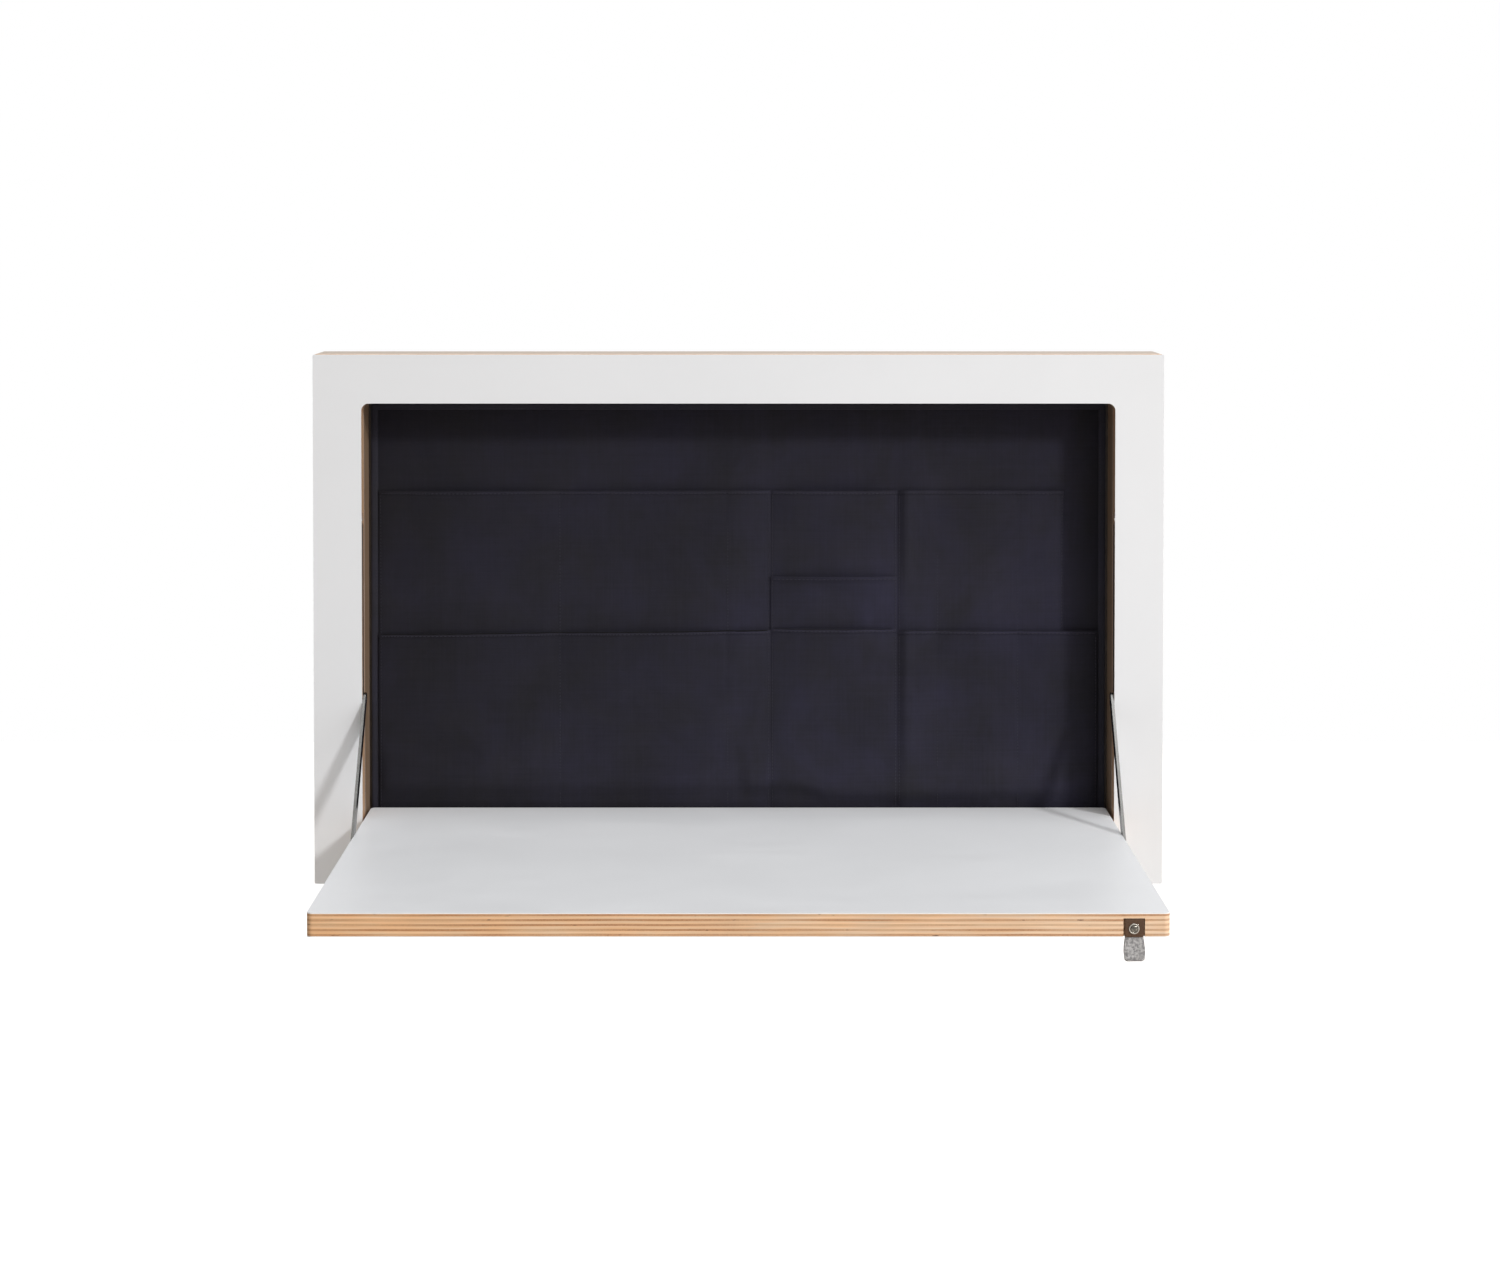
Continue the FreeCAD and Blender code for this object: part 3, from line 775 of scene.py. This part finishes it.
# Seams that hold the cloth down, where neighbouring pockets meet, and how near either counts
SEAMS = (-0.171, -0.010, 0.191, 0.268)
MEETINGS = (-0.3445, 0.031, 0.1525)
SNAP = 0.009
SEAM_MARGIN = 0.004


def seams_between(x0, x1):
    return [s for s in SEAMS if x0 + SEAM_MARGIN < s < x1 - SEAM_MARGIN]


def drape(x):
    """Soft ridges and valleys that run the full height of the cloth, pinned where it is sewn."""
    knots = ((-0.36, 0.0), (-0.24, 0.4), (-0.171, 0.0), (-0.10, 0.5), (-0.010, 1.3), (0.031, 0.0),
             (0.055, 0.9), (0.125, 0.8), (0.1535, 0.0), (0.160, 1.5), (0.191, 0.2), (0.205, 0.1),
             (0.236, 1.3), (0.268, 0.6), (0.312, 1.0), (0.36, 0.0))
    for (a, low), (b, high) in pairwise(knots):
        if a <= x <= b:
            u = (x - a) / (b - a)
            return low + (high - low) * u * u * (3 - 2 * u)
    return 0.0


def sag(x, z):
    """The slack that hangs low in the cloth: long above its crest and short below it."""
    crest = -0.164 - 0.007 * clamp((x - 0.06) / 0.025) + 0.003 * ripple(x, 0.0, 0.12, 21.0)
    run = 0.030 if z > crest else 0.0075
    left, right, blend, least = 0.0, 0.31, 0.012, 0.35
    reach = 1.0 if left < x < right else least
    side = min(1.0, abs(x - left) / blend, abs(x - right) / blend)
    return swell(z, crest, run, least + (reach - least) * side)


def face_relief(x, z):
    low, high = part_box("organiser_cloth")
    border = min(x - low.x, high.x - x, z - low.z, high.z - z)
    calm = min(1.0, border / 0.02)
    return calm * (0.0004 * ripple(x, z, 0.11, 3.1) + 0.0002 * ripple(x, z, 0.03, 8.0)
                   + 0.0004 * drape(x) - swell(x, MEETINGS[1], 0.002, 0.0003))


def pocket_relief(x0, x1, z0, z1, seed, slack, gape):
    """Canvas between seams: pinned at each seam, its mouth standing open, slack hanging low down."""
    seams = [x0] + seams_between(x0, x1) + [x1]
    low_row = z0 < -0.1
    side = 0.006
    sewn = MEETINGS[2]

    def relief(x, z):
        v = (z - z0) / (z1 - z0)
        lift = 0.0
        for k, (a, b) in enumerate(pairwise(seams)):
            if a < x < b:
                wide = b - a
                pinned = math.sin(math.pi * (x - a) / wide)
                mouth = min(1.0, wide / 0.12) * (0.72 + 0.28 * math.sin(seed * 3.0 + k * 2.1))
                lift += gape * mouth * pinned ** 0.8 * max(0.0, (v - 0.45) / 0.55) ** 3
                lift += slack * pinned ** 0.35 * (0.30 + 0.25 * v)
                lift += slack * 0.42 * pinned * ripple(x, z * 0.5, 0.075, seed)
                lift += slack * 0.20 * pinned * ripple(x, z, 0.022, seed + 4.0)
        edge = clamp(min((x - x0) / side, (x1 - x) / side))
        if low_row:
            free = min([1.0] + [abs(x - s) / side for s in (x0, x1) if s not in MEETINGS[1:]])
            lift += free * 0.0062 * sag(x, z)
        upper = clamp((v - 0.30) / 0.30)
        lift += swell(x, sewn, 0.007, 0.0009 * (1.0 - upper))
        lift += swell(x, sewn + 0.0085, 0.006, 0.0017 * upper * edge)
        return max(-0.00005, lift + edge * 0.0011 * drape(x))
    return relief


class DESK_OT_organiser(bpy.types.Operator):
    """Canvas face, stiff board and bound edge of the organiser"""
    bl_idname = "desk.organiser"
    bl_label = "Organiser Panel"

    def execute(self, context):
        cloth = context.scene.desk_cloth
        low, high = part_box("organiser_cloth")
        bm = cloth_plate(low.x, high.x, low.z, high.z, low.y, cloth.cloth, 110, 70, face_relief)
        face = finish_piece("organiser_face", bm, "frame", canvas(), "organiser_cloth")
        dress(pressed_board(), "organiser_board")
        self.bind()
        return done(face.data.polygons)

    def bind(self):
        """Tape folded over the panel's edge, round outside and mitred inside at the corners."""
        low, high, middle, half = box("organiser_binding")
        width, back, front = 0.0065, high.y, low.y
        radius, wave, longest, pitch = 0.004, 0.00022, 0.02, 0.012
        section = [(0.0, back - 0.0004), (0.0003, back - 0.0001), (0.0018, back), (width - 0.001, back),
                   (width - 0.0006, back - 0.0005), (0.0016, back - 0.0007), (0.0013, back - 0.0012),
                   (0.0013, front + 0.0014), (0.0017, front + 0.0010), (width, front + 0.0010),
                   (width + 0.0002, front + 0.0006), (width - 0.0002, front + 0.0002),
                   (width * 0.5, front), (0.0014, front + 0.0001), (0.0004, front + 0.0005),
                   (0.0, front + 0.0012)]
        path = list(rounded(middle, half.x, half.z, radius, 6))
        bm = bmesh.new()
        rings = []
        for (start, out), (end, _) in zip(path, path[1:] + path[:1]):
            gap = (end - start).length
            steps = int(gap / pitch) if gap > longest else 1
            for s in range(steps):
                centre = start.lerp(end, s / steps)
                lift = wave * noise.noise(centre * 38.0)
                ring = []
                for inward, y in section:
                    point = centre + out * (radius - inward)
                    if inward > radius:
                        point.x = max(low.x + inward, min(high.x - inward, point.x))
                        point.z = max(low.z + inward, min(high.z - inward, point.z))
                    soft = 0.001 < inward < width and y < front + 0.0009
                    ring.append(bm.verts.new((point.x, y + (lift if soft else 0.0), point.z)))
                rings.append(ring)
        bridge(bm, rings + rings[:1])
        bmesh.ops.remove_doubles(bm, verts=bm.verts, dist=0.00001)
        finish_piece("organiser_edge_tape", bm, "frame", binding_tape(),
                     "organiser_binding")


class Pocket:
    """A pocket's outline: its sides drawn to the seams it shares, its mouth drawn up a little."""

    def __init__(self, node, seed, rise_left, rise_right, shade):
        cloth = bpy.context.scene.desk_cloth
        self.node, self.shade, self.rises = node, shade, (rise_left, rise_right)
        low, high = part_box(node)
        self.y, self.z0, self.z1 = low.y, low.z, high.z
        self.opening = low.x, high.x
        self.x0, self.x1 = [next((m for m in MEETINGS if abs(x - m) < SNAP), x) for x in self.opening]
        self.relief = pocket_relief(self.x0, self.x1, low.z, high.z, seed, cloth.bulge, cloth.gape)

    def rise(self, x):
        u = (x - self.x0) / (self.x1 - self.x0)
        return self.rises[0] + (self.rises[1] - self.rises[0]) * u

    def mouth(self):
        corners = [(x, self.z1 + self.rise(x)) for x in self.opening]
        return (*corners, self.shade)


# Node, seed of its wrinkles, rise of its two top corners, depth of shade in its mouth
POCKETS = (("upper_pocket_left", 1.1, 0.0000, 0.0006, 0.45),
           ("upper_pocket_middle", 2.3, 0.0004, 0.0004, 0.35),
           ("upper_pocket_right", 5.2, 0.0006, 0.0002, 0.25),
           ("lower_pocket_left", 7.7, -0.0014, 0.0026, 1.0),
           ("lower_pocket_middle", 9.4, 0.0044, 0.0038, 0.70),
           ("lower_pocket_right", 12.9, 0.0026, 0.0018, 0.60),
           ("small_pocket", 15.5, 0.0, 0.0, 0.10))


def pockets():
    return [Pocket(*entry) for entry in POCKETS]


class DESK_OT_pockets(bpy.types.Operator):
    """Two rows of canvas pockets with turned hems, and the small pocket between them"""
    bl_idname = "desk.pockets"
    bl_label = "Pockets"

    def execute(self, context):
        cloth = context.scene.desk_cloth
        for p in pockets():
            wide, tall = p.x1 - p.x0, p.z1 - p.z0
            columns, rows = max(24, int(wide / 0.0028)), max(16, int(tall / 0.0035))
            bm = cloth_plate(p.x0, p.x1, p.z0, p.z1, p.y, cloth.cloth * 0.8, columns, rows, p.relief,
                             cloth.hem, p.rise)
            piece = finish_piece(p.node + "_canvas", bm, "frame",
                                 canvas(spoken(p.node) + " canvas", p.mouth()), p.node)
        return done(len(POCKETS))


class DESK_OT_stitching(bpy.types.Operator):
    """Stitch lines along the pocket hems and seams, and round the binding"""
    bl_idname = "desk.stitching"
    bl_label = "Stitching"

    def execute(self, context):
        cloth = context.scene.desk_cloth
        run, hem_inset, seam_inset, tape_inset, sunk = 0.012, 0.002, 0.0018, 0.0052, 0.0003
        bm = bmesh.new()
        for p in pockets():
            foot = p.z1 - cloth.hem
            z = foot + 0.0010
            xs = spread(p.x0 + hem_inset, p.x1 - hem_inset, max(2, int((p.x1 - p.x0) / run)))
            sew(bm, [(x, p.y - p.relief(x, z) - 0.0005, z + p.rise(x)) for x in xs], cloth.stitch)
            zs = spread(p.z0, foot, max(2, int((p.z1 - p.z0) / run)))
            for x in [p.x0 + seam_inset, p.x1 - seam_inset] + seams_between(p.x0, p.x1):
                sew(bm, [(x, p.y - p.relief(x, z), z) for z in zs], cloth.stitch)
        low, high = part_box("organiser_binding")
        x0, x1, z0, z1 = (low.x + tape_inset, high.x - tape_inset, low.z + tape_inset,
                          high.z - tape_inset)
        sew(bm, [(x, low.y + sunk, z) for x, z in ((x0, z0), (x1, z0), (x1, z1), (x0, z1), (x0, z0))],
            cloth.stitch)
        piece = finish_piece("organiser_stitching", bm, "frame", thread())
        return done(piece.data.polygons)


class DESK_OT_tapes(bpy.types.Operator):
    """Finish the hook and loop strips that hold the organiser"""
    bl_idname = "desk.tapes"
    bl_label = "Tapes"

    def execute(self, context):
        dress(fastening_tape(), "hook_tapes", "loop_tapes")
        return done(NODES["hook_tapes"].data.materials)


# ---- leaf

class DESK_OT_leaf(bpy.types.Operator):
    """Finish the leaf's plywood core and its two laminates"""
    bl_idname = "desk.leaf"
    bl_label = "Leaf"

    def execute(self, context):
        timber = context.scene.desk_timber
        # The ply runs darker and warmer at the left end, lighter at the right end.
        plywood("leaf_core", "Leaf ply", 2, (3.0, 60.0, 60.0), timber.plies,
                ends=(timber.left_tint, timber.right_tint))
        # The leaf's laminate gets a painted highlight on its cut edges.
        dress(laminate("Leaf laminate", timber.lip), "leaf_top_laminate", "leaf_under_laminate")
        return done(NODES["leaf_core"].data.materials)


class DESK_OT_running_gear(bpy.types.Operator):
    """Stays, slide shoes, pivots, magnets and strikes"""
    bl_idname = "desk.running_gear"
    bl_label = "Running Gear"

    def execute(self, context):
        m = context.scene.desk_metal
        dress(metal("Brushed steel", m.steel, 0.24, (2500.0, 60.0, 60.0), 0.00003),
              "stay_left", "stay_right")
        dress(bright_zinc(), "stay_rivet_left", "stay_rivet_right")
        self.foot_screws()
        dress(metal("Ground pin steel", m.steel, 0.25, (60.0, 1500.0, 1500.0)), "pivot_pins")
        dress(metal("Bright nickel", m.nickel, 0.16, 500.0), "magnets", "strike_discs")
        dress(acetal(), "pivot_blocks", "slide_tracks", "slide_shoe_left", "slide_shoe_right")
        return done(NODES["stay_left"].data.materials)

    def foot_screws(self):
        """Countersunk screws with hexagon sockets and turned threads, one in each side of the leaf."""
        _, _, middle, half = box("foot_screws")
        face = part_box("stay_right")[1].x
        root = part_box("leaf_core")[1].x - face
        head, shank, deep, thread_pitch, socket = half.z, 0.0025, 0.016, 0.0009, hexagon(0.0013)
        profile = [(-0.0014, 0), (-0.0014, socket), (-0.0001, socket), (0.0, 0.0017),
                   (0.0, head - 0.0002), (-0.0002, head), (-(head - shank) * 0.8, shank), (root, shank)]
        for k in range(int((deep - 0.003) / thread_pitch)):
            at = root - thread_pitch * k
            profile += [(at - 0.00035, shank * 0.80), (at - 0.00065, shank * 0.98)]
        profile += [(root - deep + 0.001, shank * 0.6), (root - deep, 0)]
        bm = bmesh.new()
        for side in (-1, 1):
            lathe(bm, profile, (side * face, middle.y, middle.z), (side, 0, 0), 24)
        finish_piece("stay_foot_screws", bm, "leaf", bright_zinc(), "foot_screws")


# ---- pull tab

def bow(u):
    """Rises fast from 0 to 1 and sinks back a little by the time u is 1."""
    return math.sin(clamp(u) * math.pi * 0.62)


class DESK_OT_pull_tab(bpy.types.Operator):
    """Folded felt strip under a leather patch, with its dome screw and cup washer"""
    bl_idname = "desk.pull_tab"
    bl_label = "Pull Tab"

    def execute(self, context):
        m = context.scene.desk_metal
        self.strip()
        self.patch()
        # Both nickels are darkened as painted dark reflections.
        self.washer(metal("Cup washer nickel", m.cup, 0.20, 500.0))
        screw = self.screw(metal("Dome nickel", m.dome, 0.11, 500.0))
        return done(screw.data.polygons)

    def washer(self, material):
        """Cup washer: a rolled rim round a sunk seat."""
        _, _, middle, half = box("tab_washer")
        shares = ((0.0, 1.0), (0.35, 1.0), (0.75, 0.965), (1.0, 0.89), (0.97, 0.80), (0.70, 0.73),
                  (0.40, 0.68), (0.30, 0.40), (0.0, 0.40), (0.0, 1.0))
        profile = [(along * 2 * half.y, out * half.x) for along, out in shares]
        bm = bmesh.new()
        lathe(bm, profile, (middle.x, middle.y + half.y, middle.z), OUTWARD, 40)
        bmesh.ops.remove_doubles(bm, verts=bm.verts, dist=0.000001)
        finish_piece("tab_cup_washer", bm, "leaf", material, "tab_washer", angle=50.0)

    def screw(self, material):
        """Dome-headed screw with a sawn slot across its head."""
        low, high, middle, half = box("tab_screw")
        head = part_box("tab_washer")[0].y
        rise, tip, shank, under = head - low.y, head - high.y, 0.0016, -0.0003
        profile = [(tip, 0), (tip + 0.001, 0.0010), (tip + 0.003, shank), (under, shank),
                   (under, half.x * 0.96)]
        profile += [(rise * math.cos(a), half.x * math.sin(a))
                    for a in [math.radians(90 - 7.5 * k) for k in range(12)]] + [(rise, 0)]
        bm = bmesh.new()
        lathe(bm, profile, (middle.x, head, middle.z), OUTWARD, 48)
        turn, half_slot, slot_depth = math.radians(35), 0.00038, 0.0006
        for vert in bm.verts:
            x, z = vert.co.x - middle.x, vert.co.z - middle.z
            across = x * math.cos(turn) + z * math.sin(turn)
            if vert.co.y < head - 0.0002 and abs(across) < half_slot:
                vert.co.y = min(head - 0.0001, vert.co.y + slot_depth)
        return finish_piece("tab_dome_screw", bm, "leaf", material, "tab_screw")

    def strip(self):
        """One strip folded in two, its ends together in the notch and its fold hanging below."""
        low, high, middle, half = box("tab_felt")
        thick = half.y - 0.00012
        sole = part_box("leaf_core")[0].z - 0.0009
        bottom = low.z + 0.0018
        layer = [(thick / 2 + 0.00008 + 0.0009 * bow((sole - z) / (sole - bottom) * 1.15), z)
                 for z in spread(high.z, bottom, 14)]
        fold = layer[-1][0]
        path = [(middle.y - off, z) for off, z in layer]
        path += [(middle.y - math.cos(a) * fold, bottom - math.sin(a) * fold * 0.9)
                 for a in [math.pi * k / 8 for k in range(1, 8)]]
        path += [(middle.y + off, z) for off, z in reversed(layer)]
        columns = 12
        bm = bmesh.new()
        front, back = [], []
        for n, (y, z) in enumerate(path):
            before, after = path[max(0, n - 1)], path[min(len(path) - 1, n + 1)]
            t = Vector((0, after[0] - before[0], after[1] - before[1])).normalized()
            normal = Vector((0, t.z, -t.y))
            hang = clamp((sole - z) / 0.018)
            full = 0.88 + 0.12 * bow(hang * 1.25)
            outer, inner = [], []
            for c in range(columns + 1):
                u = 2 * c / columns - 1
                lean = 0.0006 * hang * (1 + u) / 2
                wave = 0.0004 * hang * math.sin(u * 2.6 + 0.7)
                corner = 0.0012 * max(0.0, abs(u) - 0.72) / 0.28 * max(0.0, hang - 0.75) * 4
                x = middle.x + 0.0003 + u * full * half.x + lean - corner * 0.4 * u
                p = Vector((x, y + wave, z + corner))
                fuzz = 0.00012 * noise.noise(p * 900.0)
                edge = 0.35 if c in (0, columns) else 0.5
                outer.append(bm.verts.new(p + normal * (thick * edge + fuzz)))
                inner.append(bm.verts.new(p - normal * (thick * edge - 0.00006)))
            front.append(outer)
            back.append(inner)
        shell(bm, front, back)
        piece = finish_piece("tab_felt_strip", bm, "leaf", felt(), "tab_felt")

    def patch(self):
        """Leather patch with a pressed, rounded border."""
        low, high, middle, half = box("tab_patch")
        bm = bmesh.new()
        rings = []
        for inset, y in ((0.0, high.y), (0.0, low.y + 0.00045), (0.00018, low.y + 0.00015),
                         (0.0006, low.y + 0.00002), (0.0016, low.y), (0.0042, low.y + 0.0001)):
            r = max(0.0003, 0.0012 - inset)
            points = [centre + out * r
                      for centre, out in rounded(middle, half.x - inset, half.z - inset, r, 4)]
            rings.append([bm.verts.new((p.x, y, p.z)) for p in points])
        tube(bm, rings)
        piece = finish_piece("tab_leather_patch", bm, "leaf", leather(), "tab_patch")


# ---- stage

# Size of the image in pixels, and the camera's sensor in millimetres
IMAGE_WIDE = 1500
IMAGE_TALL = 1283
SENSOR = 36.0


def seen(t):
    """1 for rays from the camera and those it sees reflected or refracted, 0 for other light."""
    ray = t.add("ShaderNodeLightPath").outputs
    return t.math("MAXIMUM", t.math("MAXIMUM", ray["Is Camera Ray"], ray["Is Glossy Ray"]),
                  ray["Is Transmission Ray"])


class DESK_OT_stage(bpy.types.Operator):
    """Camera, floor, room light and lamps"""
    bl_idname = "desk.stage"
    bl_label = "Stage"

    def execute(self, context):
        s = context.scene.desk_stage
        self.camera(context, s)
        self.floor(s)
        self.room(context, s)
        self.lamps(s)
        context.scene.view_settings.view_transform = "Standard"
        return done(context.scene.camera)

    def camera(self, context, s):
        data = bpy.data.cameras.new("Eye")
        data.sensor_fit = "HORIZONTAL"
        data.sensor_width = SENSOR
        data.lens = s.focal_px / IMAGE_WIDE * SENSOR
        data.shift_x = (IMAGE_WIDE / 2 - s.aim_x) / IMAGE_WIDE
        data.shift_y = (s.aim_y - IMAGE_TALL / 2) / IMAGE_WIDE
        data.clip_end = 50.0
        eye = new_object("Eye", data)
        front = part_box("front_laminate")[0].y
        eye.location = (0.0, front - s.eye_out, s.eye_up)
        eye.rotation_euler = (math.radians(90) - s.pitch, 0, 0)
        context.scene.camera = eye

    def floor(self, s):
        bpy.ops.mesh.primitive_plane_add(size=9.0, location=(0, 0, -s.floor_drop))
        floor = bpy.context.object
        floor.name = "pale_floor"
        material, t, inputs = new_material("Pale floor")
        speck = t.noise(t.place(), 40.0)
        for key, value in (("Base Color", t.mix(speck, (0.74, 0.68, 0.62), (0.78, 0.72, 0.66))),
                           ("Roughness", 0.9), ("Emission Color", 1.0),
                           ("Emission Strength", t.times(seen(t), 0.86))):
            t.put(inputs[key], value)
        floor.data.materials.append(material)

    def room(self, context, s):
        world = bpy.data.worlds.new("Room")
        world.use_nodes = True
        context.scene.world = world
        t = Tree(world.node_tree)
        t.nodes.clear()
        strength = t.span(seen(t), 0.0, 1.0, s.sky, 1.0)
        back = t.add("ShaderNodeBackground", {"Color": 1.0, "Strength": strength})
        t.add("ShaderNodeOutputWorld", {0: back.outputs[0]})

    def lamps(self, s):
        aim = Vector((0.0, -0.10, 0.0))
        for name, way, far, wide, watts, tint in (
                ("Key", (0.596, -0.635, 0.491), 6.52, 0.8, s.key, (0.985, 1.0, 1.025)),
                ("Soft", (0.40, -0.700, 0.592), 5.0, 4.0, s.soft, (1.0, 0.965, 0.92)),
                ("Side", (0.915, -0.340, 0.215), 6.0, 4.5, s.side, (0.98, 1.0, 1.03)),
                ("Top", (0.05, -0.150, 0.987), 5.0, 3.0, s.top, (0.985, 1.0, 1.02))):
            data = bpy.data.lights.new(name, "AREA")
            data.shape = "DISK"
            data.size = wide
            data.energy = watts
            data.color = tint
            lamp = new_object(name, data)
            lamp.location = aim + Vector(way) * far
            lamp.rotation_euler = (lamp.location - aim).to_track_quat("Z", "Y").to_euler()


# ---- panel and registration

STEPS = (DESK_OT_case, DESK_OT_back_screws, DESK_OT_organiser, DESK_OT_pockets, DESK_OT_stitching,
         DESK_OT_tapes, DESK_OT_leaf, DESK_OT_running_gear, DESK_OT_pull_tab, DESK_OT_stage)


class DESK_PT_sidebar(bpy.types.Panel):
    """Lists the desk's steps and the sizes and colours they use"""
    bl_label = "Fold-down Wall Desk"
    bl_idname = "DESK_PT_sidebar"
    bl_space_type = "VIEW_3D"
    bl_region_type = "UI"
    bl_category = "Wall Desk"

    def draw(self, context):
        for step in STEPS:
            self.layout.operator(step.bl_idname)
        for name in SETTINGS:
            block = getattr(context.scene, name)
            column = self.layout.box().column(align=True)
            for key in block.__annotations__:
                column.prop(block, key)


SETTINGS = {"desk_timber": DESK_PG_timber, "desk_cloth": DESK_PG_cloth, "desk_metal": DESK_PG_metal,
            "desk_stage": DESK_PG_stage}
CLASSES = (*SETTINGS.values(), *STEPS, DESK_PT_sidebar)


def register():
    for cls in CLASSES:
        bpy.utils.register_class(cls)
    for name, cls in SETTINGS.items():
        setattr(bpy.types.Scene, name, PointerProperty(type=cls))


def unregister():
    for name in SETTINGS:
        delattr(bpy.types.Scene, name)
    for cls in reversed(CLASSES):
        bpy.utils.unregister_class(cls)


def main():
    register()
    for step in STEPS:
        category, name = step.bl_idname.split(".")
        if "FINISHED" not in getattr(getattr(bpy.ops, category), name)():
            raise RuntimeError("%s did not finish" % step.bl_label)
    bpy.context.view_layer.update()


if __name__ == "__main__":
    main()
